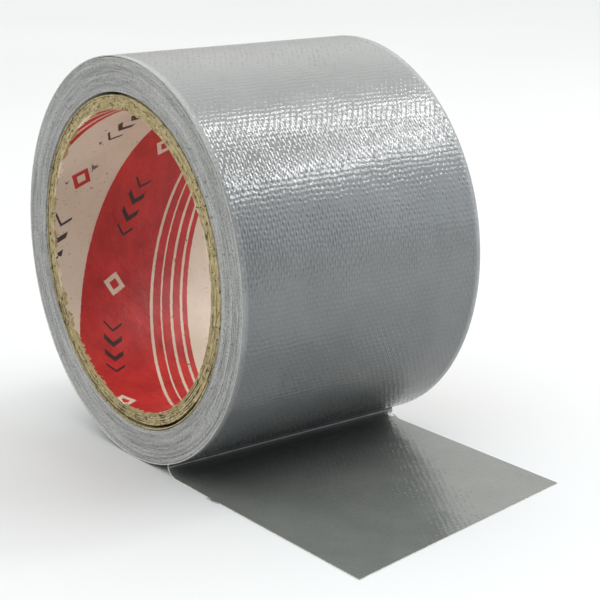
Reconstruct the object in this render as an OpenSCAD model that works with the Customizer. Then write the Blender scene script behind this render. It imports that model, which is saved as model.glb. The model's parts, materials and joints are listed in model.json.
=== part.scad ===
// Roll of cloth-backed tape on a spiral-wound paperboard core, standing on its tread.
// The outermost wrap is peeled back under the roll and lies on the ground as a free tail.
//
// Frame: origin on the axis of the core's bore, halfway along it. +Y runs along the bore,
// +Z is up, and +X points from the roll to the free end of the tail. Millimetres.

/* [Roll] */
// Outside diameter of the full roll
roll_d = 102.6; // [96:0.2:130]
// Width of the tape, which is also the width of the core
tape_w = 72; // [24:1:96]

/* [Core] */
// Diameter of the core's bore, a three-inch core
core_bore_d = 76.2; // [76:0.1:76.4]
// Thickness of the printed paper that lines the bore
label_t = 0.2; // [0.1:0.05:0.25]
// Thickness of each main ply of paperboard
ply_t = 0.6; // [0.5:0.02:0.6]
// Thickness of the thin ply round the outside
outer_ply_t = 0.35; // [0.2:0.05:0.35]
// How far the thin outer ply has sagged, which opens a gap under the main plies
outer_ply_sag = 0.35; // [0.1:0.05:0.35]
// How far the cut ends of the five main plies sit inside the core's ends, from the bore outwards
ply_inset = [0, 0.15, 0.05, 0.2, 0.1]; // [0:0.05:0.5]

/* [Tape] */
// Thickness of the polyethylene film, the tape's glossy face
film_t = 0.08; // [0.05:0.01:0.12]
// Thickness of the woven cloth under the film
scrim_t = 0.07; // [0.05:0.01:0.12]
// Thickness of the adhesive on the tape's back
adhesive_t = 0.09; // [0.05:0.01:0.12]

/* [Peeled end] */
// Angle from the roll's lowest line to the line where the tape leaves it
peel_angle = 20; // [14:1:28]
// Length of tape between the bend and the tail's moving part
root_l = 8; // [3:0.5:12]
// Reach of the tail's near corner from the roll's axis
tail_near_reach = 93; // [60:1:200]
// Reach of the tail's far corner from the roll's axis, less where the cut is askew
tail_far_reach = 80; // [60:1:200]

/* [Hidden] */
$fn = 180;
roll_r = roll_d / 2;
half_w = tape_w / 2;
tape_t = film_t + scrim_t + adhesive_t;
// Radii of the core, from the bore outwards
bore_r = core_bore_d / 2;
ply_count = len(ply_inset);
ply_r0 = bore_r + label_t;
core_main_r = ply_r0 + ply_count * ply_t;
// Clearance between neighbouring rings of the core, and between bodies that move apart
ring_gap = 0.03;
body_gap = 0.1;
peel_gap = 0.15;
outer_ply_r0 = core_main_r + outer_ply_sag + ring_gap;
outer_ply_r1 = outer_ply_r0 + outer_ply_t;
// Radius of the hole through the wound tape, in which the core has dropped onto its lowest line
wind_r0 = outer_ply_r1 + outer_ply_sag + ring_gap;
// The line where the tape leaves the roll, and the quarter turn that lays it on the ground
ground_z = -roll_r;
peel_x = (roll_r + peel_gap) * sin(peel_angle);
peel_z = -(roll_r + peel_gap) * cos(peel_angle);
bend_r = peel_z - ground_z;
bend_x = peel_x + bend_r;
// Where the flat stretches of tape start and end
root_x0 = bend_x + body_gap;
root_x1 = root_x0 + root_l;
tail_x0 = root_x1 + body_gap;
// Height of each layer's lower face over the ground, with the adhesive side down
adhesive_h = 0;
scrim_h = adhesive_t;
film_h = adhesive_t + scrim_t;
// Extra length that carries a cutting shape past the faces it cuts
cut_extra = 1;

film_colour = "#a9adb1";
scrim_colour = "#d8d6cf";
adhesive_colour = "#c9c4b4";
edge_colour = "#8f9297";
board_colour = "#b09a6c";
label_colour = "#c8323c";

// A cylinder along Y, centred on the middle of the roll's width
module y_cylinder(r, l) {
    rotate([90, 0, 0])
        cylinder(r = r, h = l, center = true);
}

// A ring round the Y axis
module y_ring(r_in, r_out, l) {
    difference() {
        y_cylinder(r_out, l);
        y_cylinder(r_in, l + 2 * cut_extra);
    }
}

// One layer of the bend: a quarter ring from straight down off the roll to flat along +X.
// h is the height of the layer's lower face over the ground once the tape lies flat.
module bend_layer(h, t) {
    translate([bend_x, 0, peel_z])
        intersection() {
            y_ring(bend_r - h - t, bend_r - h, tape_w);
            translate([-2 * bend_r, -tape_w, -2 * bend_r])
                cube([2 * bend_r, 2 * tape_w, 2 * bend_r]);
        }
}

// One layer of the short flat stretch next to the bend
module root_layer(h, t) {
    translate([root_x0, -half_w, ground_z + h])
        cube([root_l, tape_w, t]);
}

// One layer of the free tail, whose end is cut askew
module tail_layer(h, t) {
    outline = [
        [tail_x0, -half_w],
        [tail_near_reach, -half_w],
        [tail_far_reach, half_w],
        [tail_x0, half_w]
    ];
    translate([0, 0, ground_z + h])
        linear_extrude(t)
            polygon(outline);
}

// Printed paper that lines the bore
module core_label() {
    color(label_colour)
        y_ring(bore_r, bore_r + label_t, tape_w);
}

// Main ply number i of the core, counted outwards from 1
module core_ply(i) {
    color(board_colour)
        y_ring(ply_r0 + (i - 1) * ply_t, ply_r0 + i * ply_t, tape_w - 2 * ply_inset[i - 1]);
}

// Thin outer ply, which hangs from the top of the main plies and stands clear of them below
module core_outer_ply() {
    color(board_colour)
        translate([0, 0, -outer_ply_sag])
            y_ring(outer_ply_r0, outer_ply_r1, tape_w);
}

// The wraps of tape under the outermost one
module wound_tape() {
    color(edge_colour)
        y_ring(wind_r0, roll_r - tape_t, tape_w);
}

module outer_wrap_adhesive() {
    color(adhesive_colour)
        y_ring(roll_r - tape_t, roll_r - film_t - scrim_t, tape_w);
}

module outer_wrap_scrim() {
    color(scrim_colour)
        y_ring(roll_r - film_t - scrim_t, roll_r - film_t, tape_w);
}

module outer_wrap_film() {
    color(film_colour)
        y_ring(roll_r - film_t, roll_r, tape_w);
}

module bend_adhesive() {
    color(adhesive_colour)
        bend_layer(adhesive_h, adhesive_t);
}

module bend_scrim() {
    color(scrim_colour)
        bend_layer(scrim_h, scrim_t);
}

module bend_film() {
    color(film_colour)
        bend_layer(film_h, film_t);
}

module root_adhesive() {
    color(adhesive_colour)
        root_layer(adhesive_h, adhesive_t);
}

module root_scrim() {
    color(scrim_colour)
        root_layer(scrim_h, scrim_t);
}

module root_film() {
    color(film_colour)
        root_layer(film_h, film_t);
}

module tail_adhesive() {
    color(adhesive_colour)
        tail_layer(adhesive_h, adhesive_t);
}

module tail_scrim() {
    color(scrim_colour)
        tail_layer(scrim_h, scrim_t);
}

module tail_film() {
    color(film_colour)
        tail_layer(film_h, film_t);
}

core_label();
core_ply(1);  // core_ply_1
core_ply(2);  // core_ply_2
core_ply(3);  // core_ply_3
core_ply(4);  // core_ply_4
core_ply(5);  // core_ply_5
core_outer_ply();
wound_tape();
outer_wrap_adhesive();
outer_wrap_scrim();
outer_wrap_film();
bend_adhesive();
bend_scrim();
bend_film();
root_adhesive();
root_scrim();
root_film();
tail_adhesive();
tail_scrim();
tail_film();
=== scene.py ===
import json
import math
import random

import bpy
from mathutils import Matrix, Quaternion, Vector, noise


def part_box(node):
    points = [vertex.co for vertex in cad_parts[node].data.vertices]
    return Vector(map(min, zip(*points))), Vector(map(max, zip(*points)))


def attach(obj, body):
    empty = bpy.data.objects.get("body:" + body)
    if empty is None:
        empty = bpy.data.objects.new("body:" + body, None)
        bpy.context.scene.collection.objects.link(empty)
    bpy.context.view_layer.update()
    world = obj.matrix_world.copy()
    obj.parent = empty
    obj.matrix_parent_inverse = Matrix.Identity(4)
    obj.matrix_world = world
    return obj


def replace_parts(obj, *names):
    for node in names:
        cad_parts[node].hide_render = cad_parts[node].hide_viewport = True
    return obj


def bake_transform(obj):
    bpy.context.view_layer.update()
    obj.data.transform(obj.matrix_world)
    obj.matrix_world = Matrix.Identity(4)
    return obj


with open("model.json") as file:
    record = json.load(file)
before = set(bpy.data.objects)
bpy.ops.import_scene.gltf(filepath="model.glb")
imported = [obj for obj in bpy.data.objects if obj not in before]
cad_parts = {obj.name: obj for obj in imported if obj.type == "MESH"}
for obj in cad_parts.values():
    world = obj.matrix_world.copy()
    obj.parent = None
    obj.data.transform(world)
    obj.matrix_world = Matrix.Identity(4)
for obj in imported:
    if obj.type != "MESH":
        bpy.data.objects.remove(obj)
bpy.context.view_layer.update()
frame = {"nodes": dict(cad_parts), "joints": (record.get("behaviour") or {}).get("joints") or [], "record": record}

# Looks of a roll of cloth-backed tape that stands on its tread with its outer end peeled back.
# Metres, in the CAD model's frame: origin in the middle of the core's bore, +Y along the bore,
# +Z up, +X towards the free end of the tail. Every size that the CAD model has comes from the
# frame. The rest are sizes of the print, the weave, the fold and the light, named below.

MM = 0.001
TAU = 2 * math.pi


# ---------------------------------------------------------------- sizes from the frame


def joint(name):
    return next(j for j in frame["joints"] if j["name"] == name)


def mount(name):
    return next(m for m in frame["record"]["mounts"] if m["name"] == name)


def radii(node, centre_z=0.0):
    """Smallest and largest radius of a ring-shaped node round a line along Y."""
    found = [math.hypot(v.co.x, v.co.z - centre_z) for v in frame["nodes"][node].data.vertices]
    return min(found), max(found)


ROLL_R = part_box("outer_wrap_film")[1].x
HALF_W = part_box("outer_wrap_film")[1].y
GROUND_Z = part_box("tail_adhesive")[0].z
WIND_R0, WIND_R1 = radii("wound_tape")
TAPE_T = ROLL_R - WIND_R1
BORE_R = mount("core_bore")["dims"]["r_mm"] * MM
LIFT_AXIS = Vector(joint("tail_lift")["pos_m"])
PLY_R0, PLY_R1 = radii("core_ply_1")
PLY_T = PLY_R1 - PLY_R0
PLY_COUNT = sum(name.startswith("core_ply_") for name in frame["nodes"])
LAYERS = ("adhesive", "scrim", "film")


# ---------------------------------------------------------------- sizes the CAD model does not have

# The cloth's plain weave. An even number of weft threads closes the pattern round the roll.
WEFT_COUNT = 252
WEFT_PITCH = TAU * ROLL_R / WEFT_COUNT
WARP_PITCH = 0.77 * MM

# Over polyethylene's own 1.5, which mirrored the lights too weakly
FILM_IOR = 1.72

# The printed liner is one strip of paper wound as a helix. This is how far it climbs in a turn, and
# its rows of marks: how far across the strip each row is, where it starts, and how often it repeats
LINER_LEAD = 93.6 * MM
MARK_ROWS = ((12 * MM, 8 * MM), (33 * MM, 24 * MM), (68 * MM, 14 * MM))
MARK_PERIOD = 42 * MM

# The fold under the roll: where the tape leaves the tread, the radius of its curl, the radius and
# turn in degrees of the tight crease under the curl, and where the visible strip is split in two
PEEL_ANGLE = math.atan2(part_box("bend_adhesive")[0].x, -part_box("bend_film")[1].z)
CURL_R = 0.7 * MM
CREASE_R = 0.55 * MM
CREASE_TURN = 30
SPLIT_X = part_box("root_film")[1].x - 1.5 * MM

# Most of a noise texture's values lie between these two
NOISE_LOW, NOISE_HIGH = 0.3, 0.7

# Edges of a mesh that turn by more than this many degrees are shaded as sharp
SHARP_ANGLE = 50

# Distance of the soft boxes from the middle of the bore, in metres
LIGHT_DISTANCE = 0.9


# ---------------------------------------------------------------- material graphs


def rgb(red, green, blue):
    """A colour as it looks on a screen, from 0 to 255, turned into linear light (sRGB's curve)."""
    linear = []
    for level in (red, green, blue):
        share = level / 255
        linear.append(share / 12.92 if share <= 0.04045 else ((share + 0.055) / 1.055) ** 2.4)
    return (*linear, 1.0)


class Graph:
    """A material's node tree. Most methods add a node or a few and give the last one's output."""

    def __init__(self, name):
        self.material = bpy.data.materials.new(name)
        self.material.use_nodes = True
        self.tree = self.material.node_tree
        self.shader = self.tree.nodes["Principled BSDF"]
        self.coords = self.add("ShaderNodeTexCoord").outputs["Object"]
        parts = self.add("ShaderNodeSeparateXYZ")
        self.link(self.coords, parts.inputs[0])
        self.x, self.y, self.z = parts.outputs

    def add(self, kind, **settings):
        node = self.tree.nodes.new(kind)
        for key, value in settings.items():
            setattr(node, key, value)
        return node

    def link(self, value, socket):
        if isinstance(value, bpy.types.NodeSocket):
            self.tree.links.new(value, socket)
        else:
            socket.default_value = value

    def math(self, operation, a, b=0.0):
        node = self.add("ShaderNodeMath", operation=operation)
        self.link(a, node.inputs[0])
        self.link(b, node.inputs[1])
        return node.outputs[0]

    def sum(self, first, *others):
        for other in others:
            first = self.math("ADD", first, other)
        return first

    def times(self, first, *others):
        for other in others:
            first = self.math("MULTIPLY", first, other)
        return first

    def apart(self, a, b):
        return self.math("ABSOLUTE", self.math("SUBTRACT", a, b))

    def vector(self, x, y, z):
        node = self.add("ShaderNodeCombineXYZ")
        for value, socket in zip((x, y, z), node.inputs):
            self.link(value, socket)
        return node.outputs[0]

    def noise(self, scale, detail=2.0, rough=0.5, where=None):
        node = self.add("ShaderNodeTexNoise")
        self.link(self.coords if where is None else where, node.inputs["Vector"])
        node.inputs["Scale"].default_value = scale
        node.inputs["Detail"].default_value = detail
        node.inputs["Roughness"].default_value = rough
        return node.outputs[0]

    def span(self, value, low, high, to_low=0.0, to_high=1.0):
        """value carried from low..high to to_low..to_high, and held at the ends."""
        node = self.add("ShaderNodeMapRange")
        for item, socket in zip((value, low, high, to_low, to_high), node.inputs):
            self.link(item, socket)
        return node.outputs[0]

    def vary(self, noise_value, low=0.0, high=1.0):
        """A noise texture's usual range carried to low..high."""
        return self.span(noise_value, NOISE_LOW, NOISE_HIGH, low, high)

    def mix(self, share, a, b):
        node = self.add("ShaderNodeMix", data_type="RGBA")
        colours = [s for s in node.inputs if s.type == "RGBA"]
        self.link(share, node.inputs["Factor"])
        self.link(a, colours[0])
        self.link(b, colours[1])
        return next(s for s in node.outputs if s.type == "RGBA")

    def tinted(self, base, *tints):
        """A base colour with others laid over it in turn, each given as a share and a colour."""
        for share, colour in tints:
            base = self.mix(share, base, colour)
        return base

    def bump(self, height, depth, under=None):
        node = self.add("ShaderNodeBump")
        node.inputs["Distance"].default_value = depth
        self.link(height, node.inputs["Height"])
        if under is not None:
            self.link(under, node.inputs["Normal"])
        return node.outputs[0]

    def band(self, place, centre, width, soft=0.06 * MM):
        """1 where place is within width of centre, 0 outside."""
        return self.span(self.apart(place, centre), width / 2 - soft, width / 2 + soft, 1.0, 0.0)

    def angle(self):
        """Angle round the Y axis, from +X towards +Z."""
        return self.math("ARCTAN2", self.z, self.x)

    def radius(self):
        return self.math("SQRT", self.sum(self.times(self.x, self.x), self.times(self.z, self.z)))

    def finish(self, **inputs):
        for key, value in inputs.items():
            self.link(value, self.shader.inputs[key.replace("_", " ")])
        return self.material


# ---------------------------------------------------------------- tape materials


def weave(g, along):
    """Height of a plain weave, from about -1 to 1: a chequer of crossings, and the threads.

    The threads stray from their straight lines by up to about a quarter of their pitch.
    """
    weft_stray = g.vary(g.noise(240), -0.75, 0.75)
    warp_stray = g.vary(g.noise(200, 3), -0.6, 0.6)
    weft = g.math("ADD", g.times(along, math.pi / WEFT_PITCH), weft_stray)
    warp = g.math("ADD", g.times(g.y, math.pi / WARP_PITCH), warp_stray)
    chequer = g.times(g.math("COSINE", weft), g.math("COSINE", warp))
    weft_ridge = g.math("COSINE", g.times(weft, 2.0))
    warp_ridge = g.math("COSINE", g.times(warp, 2.0))
    return g.sum(g.times(chequer, 0.42), g.times(weft_ridge, 0.33), g.times(warp_ridge, 0.22))


def along_tread(g):
    return g.times(g.angle(), ROLL_R)


def along_strip(g):
    """Distance from the line that the tail lifts about, so that the weave lifts with it."""
    x = g.math("SUBTRACT", g.x, LIFT_AXIS.x)
    z = g.math("SUBTRACT", g.z, LIFT_AXIS.z)
    return g.math("SQRT", g.sum(g.times(x, x), g.times(z, z)))


def painted_rim_highlight(g):
    """The tread's two rims, painted lighter as a painted highlight, the more so towards the edge."""
    starts, full = HALF_W - 1.9 * MM, HALF_W - 0.2 * MM
    by_rim = g.span(g.math("ABSOLUTE", g.y), starts, full, 0.0, 0.6)
    return g.times(by_rim, g.vary(g.noise(220, 3), 0.6, 1.0))


def pale_crease_and_highlight(g):
    """The crease under the curl, painted pale: partly the bent film whitened, partly a painted highlight where the
    curl mirrors the light. It stays with the fold.
    """
    under_curl, width, soft = 0.16 * MM, 0.24 * MM, 0.05 * MM
    clear_of_split = 6 * MM
    curl_z = -(ROLL_R + CURL_R) * math.cos(PEEL_ANGLE)
    line = g.band(g.z, curl_z - under_curl, width, soft)
    by_fold = g.math("LESS_THAN", g.x, SPLIT_X - clear_of_split)
    return g.times(line, by_fold, g.vary(g.noise(300, 2), 0.35, 0.75))


def film_material(name, along_of):
    """Silver polyethylene film, glossy, with the weave of the cloth pressed through it.

    The tape is wound tight on the roll, so the threads stand up more there than on the slack strip,
    and the strip's film is painted darker than the roll's film, as painted shade.
    """
    on_roll = along_of is along_tread
    if on_roll:
        thread_depth, grain_depth, hollow_shade_share = 0.070 * MM, 0.014 * MM, 0.22
        dark, light = rgb(108, 110, 111), rgb(119, 121, 122)
    else:
        thread_depth, grain_depth, hollow_shade_share = 0.042 * MM, 0.022 * MM, 0.35
        # Painted shade: the strip's film colours are a darker copy of the roll's.
        dark, light = rgb(97, 100, 97), rgb(108, 111, 108)
    swell_depth = 0.16 * MM
    g = Graph(name)
    woven = weave(g, along_of(g))
    broad_strength = g.vary(g.noise(60, 3), 0.6, 1.2)
    close_strength = g.span(g.noise(750, 1), 0.35, 0.65, 0.4, 1.3)
    pressed = g.times(woven, g.times(broad_strength, close_strength))
    swell = g.bump(g.noise(110), swell_depth)
    threads = g.bump(pressed, thread_depth, swell)
    grain = g.bump(g.noise(1800, 3, 0.6), grain_depth, threads)
    base = g.mix(g.vary(g.noise(70, 4, 0.6)), dark, light)
    # Painted shade: the weave's low places are mixed towards dark grey.
    hollow_shade = g.span(woven, -0.8, 0.2, hollow_shade_share, 0.0)
    base = g.mix(hollow_shade, base, rgb(78, 80, 81))
    if on_roll:
        # Painted highlight: the film is painted lighter along both rims of the tread.
        base = g.mix(painted_rim_highlight(g), base, rgb(186, 188, 190))
    else:
        # Partly a painted highlight: a pale line along the crease under the curl.
        base = g.mix(pale_crease_and_highlight(g), base, rgb(214, 216, 218))
    roughness = g.vary(g.noise(400, 3), 0.09, 0.15)
    return g.finish(Base_Color=base, Roughness=roughness, IOR=FILM_IOR, Normal=grain)


def scrim_material(name, along_of):
    """Bare threads of the cloth, with fine hairs."""
    thread_depth = 0.05 * MM
    g = Graph(name)
    woven = weave(g, along_of(g))
    hairs = g.noise(5000, 3, 0.7)
    base = g.mix(g.span(woven, -0.7, 0.7), rgb(176, 172, 160), rgb(226, 223, 214))
    pale_hairs = g.span(hairs, 0.5, 0.8, 0.0, 0.5)
    base = g.mix(pale_hairs, base, rgb(238, 236, 230))
    threads = g.bump(g.sum(woven, hairs), thread_depth)
    return g.finish(Base_Color=base, Roughness=0.85, Normal=threads)


def adhesive_material(name, along_of):
    """Rubber adhesive, with the cloth's threads showing through it."""
    lump_depth = 0.04 * MM
    g = Graph(name)
    woven = weave(g, along_of(g))
    tacky = g.noise(800, 4, 0.6)
    base = g.mix(g.span(woven, -0.6, 0.8), rgb(216, 213, 204), rgb(240, 238, 232))
    dust = g.span(tacky, 0.55, 0.75, 0.0, 0.4)
    base = g.mix(dust, base, rgb(160, 154, 138))
    lumps = g.bump(g.sum(woven, g.times(tacky, 1.5)), lump_depth)
    roughness = g.vary(tacky, 0.3, 0.5)
    return g.finish(Base_Color=base, Roughness=roughness, Normal=lumps)


def edge_material():
    """Slit edges of the wound wraps: fine rings of film, cloth and adhesive, and some lint."""
    edge_depth = 0.18 * MM
    g = Graph("tape_edges")
    turns = g.times(g.radius(), 1 / TAPE_T)
    angle = g.angle()
    level = g.times(g.y, 9.0)

    def rings(from_wrap_to_wrap, round_wrap, rough):
        """Noise drawn out round the roll, with how fast it changes in each direction."""
        across, around = g.times(turns, from_wrap_to_wrap), g.times(angle, round_wrap)
        return g.noise(1.0, 2, rough, g.vector(across, around, level))

    fine = rings(0.85, 9.0, 0.6)
    broad = rings(0.33, 1.4, 0.5)
    ticks = rings(0.8, 95.0, 0.6)
    lint = g.noise(1700, 3, 0.6)
    grit = g.noise(2900, 3, 0.7)
    specks = g.span(g.noise(1100, 2, 0.4), 0.68, 0.73, 0.0, 0.6)
    base = g.tinted(
        g.mix(g.span(fine, 0.32, 0.68), rgb(127, 128, 128), rgb(182, 183, 183)),
        (g.span(broad, 0.42, 0.68, 0.0, 0.75), rgb(204, 205, 204)),
        (g.span(ticks, 0.62, 0.75, 0.0, 0.5), rgb(206, 207, 206)),
        (g.span(lint, 0.32, 0.5, 0.65, 0.0), rgb(104, 104, 102)),
        (g.span(grit, 0.33, 0.46, 0.50, 0.0), rgb(86, 86, 85)),
        (g.span(grit, 0.56, 0.68, 0.0, 0.50), rgb(222, 222, 219)),
        (specks, rgb(70, 69, 66)),
    )
    height = g.sum(fine, g.times(ticks, 0.5), g.times(lint, 0.4), g.times(grit, 0.4))
    roughness = g.vary(broad, 0.42, 0.6)
    return g.finish(Base_Color=base, Roughness=roughness, Normal=g.bump(height, edge_depth))


# ---------------------------------------------------------------- core materials


def open_gaps_and_shade(g):
    """Gaps where the plies have come apart, mostly low on the core, with painted shade in them."""
    width, soft = 0.18 * MM, 0.05 * MM
    # A boundary between two plies comes at the middle of each period
    half_ply = PLY_T / 2
    place = g.math("FLOORED_MODULO", g.math("SUBTRACT", g.radius(), PLY_R0 - half_ply), PLY_T)
    open_here = g.span(g.noise(230, 3, 0.6), 0.50, 0.59)
    low_on_core = g.span(g.z, -0.2 * BORE_R, -0.7 * BORE_R, 0.05, 0.85)
    return g.times(g.band(place, half_ply, width, soft), open_here, low_on_core)


def board_material():
    """Kraft paperboard: short fibres round the core, flecks of pulp, and gaps between plies painted dark as
    painted shade.
    """
    pulp_depth = 0.40 * MM
    g = Graph("core_board")
    round_core = g.vector(g.times(g.radius(), 1700.0), g.times(g.angle(), 20.0), g.times(g.y, 1700.0))
    fibres = g.noise(1.0, 4, 0.65, round_core)
    flecks = g.noise(1050, 2, 0.5)
    pale_pulp = g.span(g.noise(900, 2, 0.5), 0.62, 0.72, 0.0, 0.6)
    stains = g.span(g.noise(140, 3), 0.35, 0.7, 0.0, 0.4)
    gaps_and_shade = open_gaps_and_shade(g)
    base = g.tinted(
        g.mix(g.vary(fibres), rgb(136, 119, 84), rgb(214, 196, 154)),
        (stains, rgb(172, 162, 110)),
        (g.span(fibres, 0.28, 0.40, 0.75, 0.0), rgb(66, 52, 32)),
        (g.span(flecks, 0.59, 0.66, 0.0, 0.8), rgb(72, 58, 36)),
        (pale_pulp, rgb(220, 208, 170)),
        # Painted shade: the gaps between the plies are painted dark brown.
        (g.times(gaps_and_shade, 0.85), rgb(54, 40, 22)),
    )
    pulp = g.bump(g.sum(fibres, g.times(flecks, 0.7), g.times(gaps_and_shade, -1.0)), pulp_depth)
    return g.finish(Base_Color=base, Roughness=0.9, Normal=pulp)


def helix(g):
    """Place on the liner's paper strip: across it, measured along the bore, and along it."""
    slope = math.atan2(LINER_LEAD, TAU * BORE_R)
    climb = g.sum(g.y, g.times(g.angle(), LINER_LEAD / TAU))
    across = g.math("FLOORED_MODULO", climb, LINER_LEAD)
    turn = g.math("FLOOR", g.math("DIVIDE", climb, LINER_LEAD))
    unwound = g.times(g.math("SUBTRACT", g.angle(), g.times(turn, TAU)), BORE_R * math.cos(slope))
    along = g.math("SUBTRACT", unwound, g.times(g.y, math.sin(slope)))
    return across, along


def red_bands(g, across):
    """The two red bands of the print, each with four fine stripes left white near one side.

    Bands are a start and an end across the strip, and stripes are a distance before the band's end
    and a width, in millimetres. The second band runs on over the strip's edge, so it comes twice.
    """
    lead = LINER_LEAD / MM
    bands = ((23.0, 57.0), (79.0, 94.4), (79.0 - lead, 94.4 - lead))
    stripes = ((11.7, 0.9), (8.5, 0.5), (5.2, 0.85), (2.0, 0.8))
    red = 0.0
    for low, high in bands:
        band = g.band(across, (low + high) / 2 * MM, (high - low) * MM)
        for before_end, width in stripes:
            stripe = g.band(across, (high - before_end) * MM, width * MM)
            band = g.math("SUBTRACT", band, g.times(band, stripe))
        red = g.math("MAXIMUM", red, band)
    return red


def place_in_row(g, along, start):
    """Place along a row of marks, from 0 to where the row's next group starts."""
    return g.math("FLOORED_MODULO", g.math("ADD", along, start), MARK_PERIOD)


def chevrons(g, across, along, centre, start):
    """A row of groups of three plain chevrons."""
    pitch, thick, width, point = 5 * MM, 1.8 * MM, 5.6 * MM, 0.9
    off = g.apart(across, centre)
    lean = g.math("ADD", place_in_row(g, along, start), g.times(off, point))
    arms = g.band(g.math("FLOORED_MODULO", lean, pitch), pitch / 2, thick)
    return g.times(arms, g.band(lean, 2 * pitch, 3 * pitch), g.band(off, 0.0, width))


def diamonds(g, across, along, centre, start):
    """A row of plain diamonds, each with a smaller one left open in it."""
    middle, outside, inside = 31 * MM, 7.0 * MM, 3.4 * MM
    size = g.math("ADD", g.apart(across, centre), g.apart(place_in_row(g, along, start), middle))
    return g.math("SUBTRACT", g.band(size, 0.0, outside), g.band(size, 0.0, inside))


def torn_ends(g):
    """1 along the liner's two torn ends, and 0 between them."""
    least, most = 0.10 * MM, 1.9 * MM
    depth = g.span(g.noise(500, 4, 0.7), 0.38, 0.72, least, most)
    torn_from = g.math("SUBTRACT", HALF_W, depth)
    return g.math("GREATER_THAN", g.math("ABSOLUTE", g.y), torn_from)


def liner_material():
    """Printed paper: red and white helical bands with plain marks, torn along its two ends."""
    bleed, crease_depth = 0.06 * MM, 0.05 * MM
    g = Graph("core_print")
    true_across, along = helix(g)
    across = g.math("ADD", true_across, g.vary(g.noise(700), -bleed, bleed))
    wear = g.noise(2600, 3, 0.6)
    paper = g.mix(g.vary(g.noise(60, 3)), rgb(206, 194, 175), rgb(222, 212, 194))
    ink = g.mix(g.span(g.noise(130, 5, 0.65), 0.35, 0.65), rgb(165, 31, 31), rgb(197, 47, 45))
    ink = g.mix(g.span(wear, 0.68, 0.78, 0.0, 0.5), ink, rgb(226, 150, 140))
    red = red_bands(g, across)
    base = g.mix(red, paper, ink)
    for (centre, start), colour in zip(MARK_ROWS, (ink, paper, ink)):
        base = g.mix(diamonds(g, across, along, centre, start), base, colour)
    unworn = g.span(wear, 0.3, 0.42, 0.7, 0.97)
    for centre, start in MARK_ROWS:
        marks = g.times(chevrons(g, across, along, centre, start), unworn)
        base = g.mix(marks, base, rgb(34, 26, 26))
    specks = g.span(g.noise(1500, 2, 0.4), 0.68, 0.73, 0.0, 0.5)
    scuffs = g.times(g.span(g.noise(260, 3, 0.6), 0.68, 0.71), g.span(red, 0.0, 1.0, 0.9, 0.3))
    bare = g.mix(g.span(g.noise(130, 3), 0.52, 0.62), rgb(174, 154, 108), rgb(232, 222, 204))
    base = g.tinted(
        base,
        (specks, rgb(110, 80, 72)),
        (scuffs, rgb(52, 40, 38)),
        (torn_ends(g), bare),
    )
    creases = g.span(g.noise(170, 3, 0.6), 0.45, 0.55)
    folds = g.bump(g.sum(creases, g.times(g.noise(3000), 0.15)), crease_depth)
    roughness = g.vary(wear, 0.4, 0.52)
    return g.finish(Base_Color=base, Roughness=roughness, Normal=folds)


# ---------------------------------------------------------------- meshes


def make(name, points, faces, material, slot_name):
    mesh = bpy.data.meshes.new(name)
    mesh.from_pydata(points, [], faces)
    mesh.materials.append(material)
    mesh.polygons.foreach_set("use_smooth", [True] * len(mesh.polygons))
    mesh.set_sharp_from_angle(angle=math.radians(SHARP_ANGLE))
    piece = bpy.data.objects.new(name, mesh)
    bpy.context.scene.collection.objects.link(piece)
    return piece


def sweep(rows, closed):
    """A skin through rows of points, each row a closed loop. An open sweep is capped."""
    count = len(rows[0])
    points = [point for row in rows for point in row]
    faces = []
    for i in range(len(rows) if closed else len(rows) - 1):
        here, there = i * count, (i + 1) % len(rows) * count
        for j in range(count):
            k = (j + 1) % count
            faces.append((here + j, here + k, there + k, there + j))
    if not closed:
        faces.append(tuple(reversed(range(count))))
        faces.append(tuple(range(len(points) - count, len(points))))
    return points, faces


def slab(under, over):
    """A closed thin solid between two grids of points, each a list of rows of equal length."""
    rows, cols = len(under), len(under[0])
    points = [p for row in under for p in row] + [p for row in over for p in row]
    top = rows * cols

    def at(i, j):
        return i * cols + j

    faces = []
    for i in range(rows - 1):
        for j in range(cols - 1):
            a, b, c, d = at(i, j), at(i, j + 1), at(i + 1, j + 1), at(i + 1, j)
            faces.append((a, b, c, d))
            faces.append((top + d, top + c, top + b, top + a))
    rim = [at(0, j) for j in range(cols)]
    rim += [at(i, cols - 1) for i in range(1, rows)]
    rim += [at(rows - 1, j) for j in range(cols - 2, -1, -1)]
    rim += [at(i, 0) for i in range(rows - 2, 0, -1)]
    for a, b in zip(rim, rim[1:] + rim[:1]):
        faces.append((b, a, top + a, top + b))
    return points, faces


def join(parts):
    """Several lists of points and faces as one."""
    points, faces = [], []
    for more_points, more_faces in parts:
        first = len(points)
        points += more_points
        faces += [tuple(first + i for i in face) for face in more_faces]
    return points, faces


def round_y(radius, y, angle, centre_z=0.0):
    """The point at that radius and angle round a line along Y."""
    return (radius * math.cos(angle), y, centre_z + radius * math.sin(angle))


def rough(x, y, z, seed):
    """Smooth noise between about -1 and 1."""
    return noise.noise(Vector((x, y, z + 17.3 * seed)))


def ring_rough(angle, count, seed, level=0.0):
    """Noise that closes round a ring, with about count bumps in a turn."""
    reach = count / TAU
    return rough(reach * math.cos(angle), reach * math.sin(angle), level, seed)


# ---------------------------------------------------------------- the wound tape


def wrap_swell(angle, y):
    """How far the outermost wrap lies under its full radius, from tape wound over itself."""
    depth = 0.03 * MM
    broad = rough(3 * math.cos(angle), 3 * math.sin(angle), y / (14 * MM), 3)
    close = rough(9 * math.cos(angle), 9 * math.sin(angle), y / (5 * MM), 4)
    return depth * (1 + broad + 0.5 * close)


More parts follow.
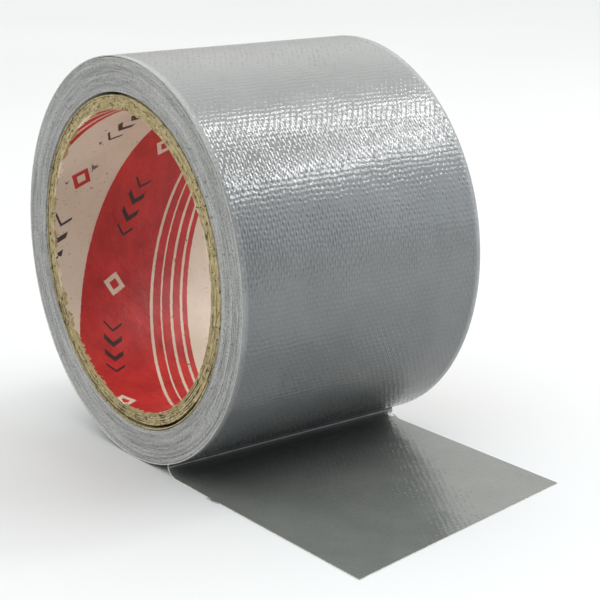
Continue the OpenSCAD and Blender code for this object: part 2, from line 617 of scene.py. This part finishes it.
def wrap_layer(node, material, slot_name, across, seed):
    """One layer of the outermost wrap, with slit edges that wander a little."""
    steps, wander = 480, 0.04 * MM
    r_in, r_out = radii(node)
    corner = 0.3 * (r_out - r_in)
    rows = []
    for i in range(steps):
        angle = TAU * i / steps
        near_y = -HALF_W + wander * (1 + ring_rough(angle, 30, seed))
        far_y = HALF_W - wander * (1 + ring_rough(angle, 30, seed + 1))
        inner, outer = [], []
        for j in range(across + 1):
            y = near_y + corner + j / across * (far_y - near_y - 2 * corner)
            sunk = wrap_swell(angle, y)
            inner.append((r_in - sunk, y))
            outer.append((r_out - sunk, y))
        near_edge = [(inner[0][0] + corner, near_y), (outer[0][0] - corner, near_y)]
        far_edge = [(outer[-1][0] - corner, far_y), (inner[-1][0] + corner, far_y)]
        section = near_edge + outer + far_edge + inner[::-1]
        rows.append([round_y(r, y, angle) for r, y in section])
    piece = make("wrap_" + node.rsplit("_", 1)[1], *sweep(rows, True), material, slot_name)
    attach(piece, "roll")
    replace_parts(piece, node)
    return piece


def wound_wraps(material):
    """All the wraps under the outermost one: one strip wound as a true spiral.

    Its slit edges step in and out a little from wrap to wrap and wander round each one. A few
    wraps stand proud, counted from the innermost, by up to the given distance in millimetres.
    """
    steps = 180
    clear, corner, sunk = 0.06 * MM, 0.055 * MM, 0.09 * MM
    wraps = round((WIND_R1 - WIND_R0) / TAPE_T)
    pitch = (WIND_R1 - clear - WIND_R0) / (wraps + 1)
    thick = 0.97 * pitch
    proud = {wraps - 7: 0.16, wraps - 8: 0.11, wraps - 15: 0.10, wraps - 21: 0.08, 9: 0.11}
    rows = []
    for i in range(wraps * steps + 1):
        angle = TAU * i / steps
        turn = i / steps
        radius = WIND_R0 + pitch * turn
        reach = []
        for side in (-1, 1):
            step = 0.075 * rough(turn * 1.7, side, 0.0, 5)
            step += 0.05 * ring_rough(angle, 5, 6, turn * 0.4)
            step += proud.get(int(turn), 0.0) * (0.6 + 0.4 * math.cos(angle + 0.6))
            reach.append(side * (HALF_W + step * MM - sunk))
        near_y, far_y = reach
        section = [
            (0.0, near_y + corner), (0.25, near_y), (0.75, near_y), (1.0, near_y + corner),
            (1.0, far_y - corner), (0.75, far_y), (0.25, far_y), (0.0, far_y - corner),
        ]
        rows.append([round_y(radius + share * thick, y, angle) for share, y in section])
    piece = make("wound_wraps", *sweep(rows, False), material, "tape_edge")
    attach(piece, "roll")
    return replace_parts(piece, "wound_tape")


# ---------------------------------------------------------------- the core


def paper_ring(name, node, material, slot_name, ragged, seed):
    """A ring of paper whose cut ends are a little ragged, in place of a ring-shaped node.

    walls are the shares of its length where its two walls have points, closer near the ends.
    """
    steps, across = 720, 4
    walls = [0.004, 0.012, 0.03] + [0.1 * k for k in range(1, 10)] + [0.97, 0.988, 0.996]
    ripple = 0.02 * MM
    low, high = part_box(node)
    centre_z = (low.z + high.z) / 2
    r_in, r_out = radii(node, centre_z)
    lip = min(0.14 * MM, 0.3 * (r_out - r_in))
    rows = []
    for i in range(steps):
        angle = TAU * i / steps
        ends = []
        for side in (-1, 1):
            tear = 0.5 * ring_rough(angle, 50, seed, side)
            tear += 0.5 * ring_rough(angle, 190, seed + 1, side)
            face = side * (high.y - ragged * (0.5 + 0.5 * tear))
            end = [(r_in, face - side * lip)]
            for j in range(across + 1):
                share = j / across
                fuzz = ring_rough(angle, 300, seed + 2, side + 3.1 * j)
                r = r_in + 0.5 * lip + share * (r_out - r_in - lip)
                end.append((r, face - side * 0.10 * ragged * (1 + fuzz)))
            end.append((r_out, face - side * lip))
            ends.append(end)
        near_y, far_y = ends[0][0][1], ends[1][0][1]
        outer, inner = [], []
        for share in walls:
            y = near_y + share * (far_y - near_y)
            dent = ripple * (1 + ring_rough(angle, 14, seed + 3, y / (9 * MM)))
            dent *= min(1.0, 20 * share, 20 * (1 - share))
            outer.append((r_out - dent, y))
            inner.append((r_in + dent, y))
        section = ends[0] + outer + ends[1][::-1] + inner[::-1]
        rows.append([round_y(r, y, angle, centre_z) for r, y in section])
    piece = make(name, *sweep(rows, True), material, slot_name)
    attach(piece, "roll")
    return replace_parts(piece, node)


def hair(start, heading, length, thick, bend):
    """One tapered fibre that starts at a point and curves sideways as it goes."""
    heading = Vector(heading).normalized()
    side = heading.orthogonal().normalized()
    other = heading.cross(side)
    steps, corners, taper = 5, 4, 0.6
    rows = []
    for i in range(steps + 1):
        share = i / steps
        middle = Vector(start) + heading * length * share + Vector(bend) * share ** 2
        width = thick * (1 - taper * share)
        row = []
        for k in range(corners):
            turn = TAU * k / corners
            row.append(tuple(middle + width * (side * math.cos(turn) + other * math.sin(turn))))
        rows.append(row)
    return sweep(rows, False)


def torn_fibres(material):
    """Torn paper fibres at the two ends of the bore, most of them low on the near end."""
    draw = random.Random(7)
    low_down, spread = 230, 55
    hairs = []
    for side, count in ((-1, 190), (1, 90)):
        for _ in range(count):
            angle = math.radians(draw.gauss(low_down, spread))
            y = side * (HALF_W - draw.uniform(0.1, 0.5) * MM)
            start = round_y(BORE_R + draw.uniform(0.0, 0.5) * MM, y, angle)
            inward = (-math.cos(angle), 0.0, -math.sin(angle))
            slant = draw.uniform(-1.5, 1.5)
            heading = (
                inward[0] - slant * math.sin(angle), side * draw.uniform(0.0, 0.6),
                inward[2] + slant * math.cos(angle),
            )
            bend = [draw.uniform(-0.2, 0.2) * MM for _ in range(3)]
            length = draw.uniform(0.25, 0.9) * MM
            hairs.append(hair(start, heading, length, draw.uniform(0.02, 0.05) * MM, bend))
    piece = make("torn_fibres", *join(hairs), material, "core_print")
    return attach(piece, "roll")


# ---------------------------------------------------------------- the peeled-back strip


def arc(centre, radius, first, last, steps):
    """Points round a circle in the XZ plane, between two angles in degrees."""
    points = []
    for i in range(steps + 1):
        angle = math.radians(first + (last - first) * i / steps)
        points.append((centre[0] + radius * math.cos(angle), centre[1] + radius * math.sin(angle)))
    return points


def bend_line(height, y):
    """A layer's path off the tread, over a curl, round a crease, down a wide curve and out.

    height is the layer's height over the ground once flat. The film, the highest, is inside.
    """
    tilt = math.degrees(PEEL_ANGLE)
    outward = (math.sin(PEEL_ANGLE), -math.cos(PEEL_ANGLE))
    curl_from_axis = ROLL_R + CURL_R
    curl = (curl_from_axis * outward[0], curl_from_axis * outward[1])
    crease_r = CREASE_R + TAPE_T
    crease = (curl[0] - CURL_R - TAPE_T + crease_r, curl[1])
    sunk = math.sin(math.radians(CREASE_TURN))
    wide_r = (curl[1] - GROUND_Z - crease_r * sunk) / (1 - sunk)
    apart = (wide_r - crease_r) * math.cos(math.radians(CREASE_TURN))
    wide = (crease[0] + apart, GROUND_Z + wide_r)
    line = arc(curl, CURL_R + TAPE_T - height, 90 + tilt, 180, 8)
    line += arc(crease, crease_r - height, 180, 180 + CREASE_TURN, 8)[1:]
    line += arc(wide, wide_r - height, 180 + CREASE_TURN, 270, 14)[1:]
    flat_steps = 24
    for i in range(1, flat_steps + 1):
        line.append((wide[0] + (SPLIT_X - wide[0]) * i / flat_steps, GROUND_Z + height))
    return [(x, y, z) for x, z in line]


def tail_reach(y):
    """How far the tail reaches at that y, where its end is cut askew."""
    corners = frame["nodes"]["tail_film"].data.vertices
    near = max(v.co.x for v in corners if v.co.y < 0)
    far = max(v.co.x for v in corners if v.co.y > 0)
    return near + (far - near) * (y + HALF_W) / (2 * HALF_W)


def tail_line(edge_in):
    """The path from the split to the cut end, for a layer drawn in that far from its edges."""
    steps = 90

    def line(height, y):
        wander = 0.10 * MM * (1 + rough(y / (0.8 * MM), 0.0, 0.0, 31))
        end_x = tail_reach(y) - (edge_in + wander)
        points = []
        for i in range(steps + 1):
            points.append((SPLIT_X + (end_x - SPLIT_X) * i / steps, y, GROUND_Z + height))
        return points

    return line


def strip_layer(name, layer, line, material, edge_in):
    """One layer of the strip as a thin closed slab, drawn in that far from its slit edges."""
    low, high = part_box("tail_" + layer)
    across = 90
    under, over = [], []
    for j in range(across + 1):
        y = (2 * j / across - 1) * (HALF_W - edge_in)
        under.append(line(low.z - GROUND_Z, y))
        over.append(line(high.z - GROUND_Z, y))
    return make(name, *slab(under, over), material, "tape_" + layer)


def length_of(points):
    return sum((Vector(b) - Vector(a)).length for a, b in zip(points, points[1:]))


def strip(materials):
    """The peeled-back tape in its three layers, round the bend and along the tail.

    The cloth and the adhesive stand out past the film a little, and more so in the squeezed fold.
    """
    tail_out = {"film": 0.0, "scrim": 0.05 * MM, "adhesive": 0.02 * MM}
    fold_out = {"film": 0.0, "scrim": 0.12 * MM, "adhesive": 0.16 * MM}
    bend_length = length_of(bend_line(0.0, 0.0))
    far_length = tail_reach(HALF_W) - SPLIT_X
    for layer in LAYERS:
        bend_name = "bend_" + layer + "_sheet"
        tail_name = "tail_" + layer + "_sheet"
        material = materials[layer]
        bend = strip_layer(bend_name, layer, bend_line, material, -fold_out[layer])
        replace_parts(bend, "bend_" + layer, "root_" + layer)
        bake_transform(bend)
        edge_in = -tail_out[layer]
        tail = strip_layer(tail_name, layer, tail_line(edge_in), material, edge_in)
        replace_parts(tail, "tail_" + layer)
        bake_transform(tail)


def loose_threads(material):
    """Ends of the cloth's warp threads, which stand out a little past the cut."""
    draw = random.Random(11)
    low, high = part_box("tail_scrim")
    middle_z = (low.z + high.z) / 2
    root, least, thick, lift = 0.4 * MM, 0.2 * MM, 0.05 * MM, 0.02 * MM
    hairs = []
    warps = int(2 * HALF_W / WARP_PITCH)
    for i in range(warps):
        y = -HALF_W + (i + 0.5) * WARP_PITCH
        past = max(0.05, draw.gauss(0.12, 0.14)) * MM
        start = (tail_reach(y) - root, y, middle_z)
        bend = (0.0, draw.uniform(-0.15, 0.15) * MM, lift)
        hairs.append(hair(start, (1, 0, 0), past + least, thick, bend))
    piece = make("loose_threads", *join(hairs), material, "tape_scrim")
    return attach(piece, "tail")


def edge_shred(material):
    """A small frayed shred of film that hangs off the near edge, a short way from the fold."""
    draw = random.Random(12)
    low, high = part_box("tail_film")
    middle_z = (low.z + high.z) / 2
    middle_x = SPLIT_X + 10 * MM
    count, root, thick, lift = 34, 0.3 * MM, 0.06 * MM, 0.03 * MM
    hairs = []
    for _ in range(count):
        start = (middle_x + draw.gauss(0.0, 1.2) * MM, -HALF_W + root, middle_z)
        heading = (draw.uniform(-0.6, 0.6), -1.0, 0.0)
        bend = (draw.uniform(-0.3, 0.3) * MM, 0.0, lift)
        hairs.append(hair(start, heading, draw.uniform(0.6, 1.4) * MM, thick, bend))
    piece = make("edge_shred", *join(hairs), material, "tape_film")
    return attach(piece, "tail")


# ---------------------------------------------------------------- stage, light and camera


def floor():
    g = Graph("pale_floor")
    tone = g.mix(g.span(g.noise(3), 0.3, 0.7), rgb(202, 204, 206), rgb(205, 207, 209))
    g.finish(Base_Color=tone, Roughness=0.8)
    reach, drop = 12.0, 0.01 * MM
    level = GROUND_Z - drop
    corners = [(-reach, -reach, level), (reach, -reach, level), (reach, reach, level)]
    corners.append((-reach, reach, level))
    make("floor", corners, [(0, 1, 2, 3)], g.material, None)


def towards(azimuth, elevation):
    """Unit vector away from the object. Azimuth 0 is -Y, 90 is +X and 180 is +Y, in degrees."""
    a, e = math.radians(azimuth), math.radians(elevation)
    return Vector((math.sin(a) * math.cos(e), -math.cos(a) * math.cos(e), math.sin(e)))


def facing(back, tilt):
    """A turn that looks back at the object from that side, tilted about the line of sight."""
    return (-back).to_track_quat("-Z", "Y") @ Quaternion((0, 0, 1), math.radians(tilt))


def softbox(name, azimuth, elevation, width, height, lean, radiance, tint=(1.0, 1.0, 1.0)):
    """A rectangular soft light that faces the object and leans from upright by an angle."""
    lamp = bpy.data.lights.new(name, "AREA")
    lamp.shape = "RECTANGLE"
    lamp.size, lamp.size_y = width, height
    lamp.energy = radiance * math.pi * width * height
    lamp.color = tint
    item = bpy.data.objects.new(name, lamp)
    bpy.context.scene.collection.objects.link(item)
    back = towards(azimuth, elevation)
    item.location = back * LIGHT_DISTANCE
    item.rotation_mode = "QUATERNION"
    item.rotation_quaternion = facing(back, lean)
    item.visible_camera = False


def world_light(zenith, horizon, shade_angle, shaded):
    """A soft room, bright overhead and dimmer low down, with its lower +X side in shade.

    Each ramp is a direction, then how far towards it the light starts and stops changing, as a
    cosine, and the strength at the two ends. The two strengths are multiplied.
    """
    world = bpy.data.worlds.new("studio")
    bpy.context.scene.world = world
    world.use_nodes = True
    tree = world.node_tree
    coords = tree.nodes.new("ShaderNodeTexCoord")
    edge = math.radians(shade_angle)
    ramps = (
        ((0.0, 0.0, 1.0), (0.0, 0.9, horizon, zenith)),
        ((-math.sin(edge), 0.0, math.cos(edge)), (-0.35, 0.20, shaded, 1.0)),
    )
    product = tree.nodes.new("ShaderNodeMath")
    product.operation = "MULTIPLY"
    for socket, (axis, values) in zip(product.inputs, ramps):
        dot = tree.nodes.new("ShaderNodeVectorMath")
        dot.operation = "DOT_PRODUCT"
        dot.inputs[1].default_value = axis
        tree.links.new(coords.outputs["Generated"], dot.inputs[0])
        ramp = tree.nodes.new("ShaderNodeMapRange")
        ramp.interpolation_type = "SMOOTHSTEP"
        for value, entry in zip(values, list(ramp.inputs)[1:5]):
            entry.default_value = value
        tree.links.new(dot.outputs["Value"], ramp.inputs[0])
        tree.links.new(ramp.outputs[0], socket)
    back = tree.nodes["Background"]
    back.inputs["Color"].default_value = (1.0, 1.0, 0.97, 1.0)
    tree.links.new(product.outputs[0], back.inputs["Strength"])


def camera(aim, azimuth, elevation, distance, tilt, lens):
    """A camera that looks at aim from that side, tilted about its line of sight."""
    data = bpy.data.cameras.new("camera")
    data.lens, data.sensor_width = lens, 36.0
    data.clip_start, data.clip_end = 0.01, 60.0
    item = bpy.data.objects.new("camera", data)
    bpy.context.scene.collection.objects.link(item)
    back = towards(azimuth, elevation)
    item.location = aim + back * distance
    item.rotation_mode = "QUATERNION"
    item.rotation_quaternion = facing(back, tilt)
    bpy.context.scene.camera = item


# ---------------------------------------------------------------- the whole

# The photograph's viewing angle, distance and lens, rounded from a perspective fit of its circles
camera(
    aim=Vector((11.6, 9.1, -14.7)) * MM, azimuth=53.7, elevation=15.0,
    distance=409 * MM, tilt=-0.7, lens=93.7,
)
world_light(zenith=2.05, horizon=0.6, shade_angle=60, shaded=0.06)
softbox("key", azimuth=165, elevation=50, width=0.12, height=0.35, lean=0, radiance=9.5)
softbox("strip", azimuth=140, elevation=40, width=0.06, height=0.50, lean=-80, radiance=15)
softbox(
    "fill", azimuth=140, elevation=20, width=0.70, height=0.60, lean=0, radiance=1.5,
    tint=(0.88, 0.95, 1.0),
)
bpy.context.scene.view_settings.view_transform = "Standard"

LAYER_MATERIALS = {
    "film": film_material,
    "scrim": scrim_material,
    "adhesive": adhesive_material,
}
for number, layer in enumerate(LAYERS):
    roll_material = LAYER_MATERIALS[layer]("roll_" + layer, along_tread)
    columns = 60 if layer == "film" else 12
    wrap_layer(
        "outer_wrap_" + layer, roll_material, "tape_" + layer,
        across=columns, seed=60 + 2 * number,
    )
wound_wraps(edge_material())

board = board_material()
liner = liner_material()
for number in range(1, PLY_COUNT + 1):
    paper_ring(
        "ply_%d" % number, "core_ply_%d" % number, board, "core_board",
        ragged=0.55 * MM, seed=10 + 3 * number,
    )
paper_ring("outer_ply", "core_outer_ply", board, "core_board", ragged=0.34 * MM, seed=40)
paper_ring("printed_liner", "core_label", liner, "core_print", ragged=0.30 * MM, seed=50)
torn_fibres(liner)

strip_materials = {}
for layer in LAYERS:
    strip_materials[layer] = LAYER_MATERIALS[layer]("strip_" + layer, along_strip)
strip(strip_materials)
loose_threads(strip_materials["scrim"])
edge_shred(strip_materials["film"])
floor()
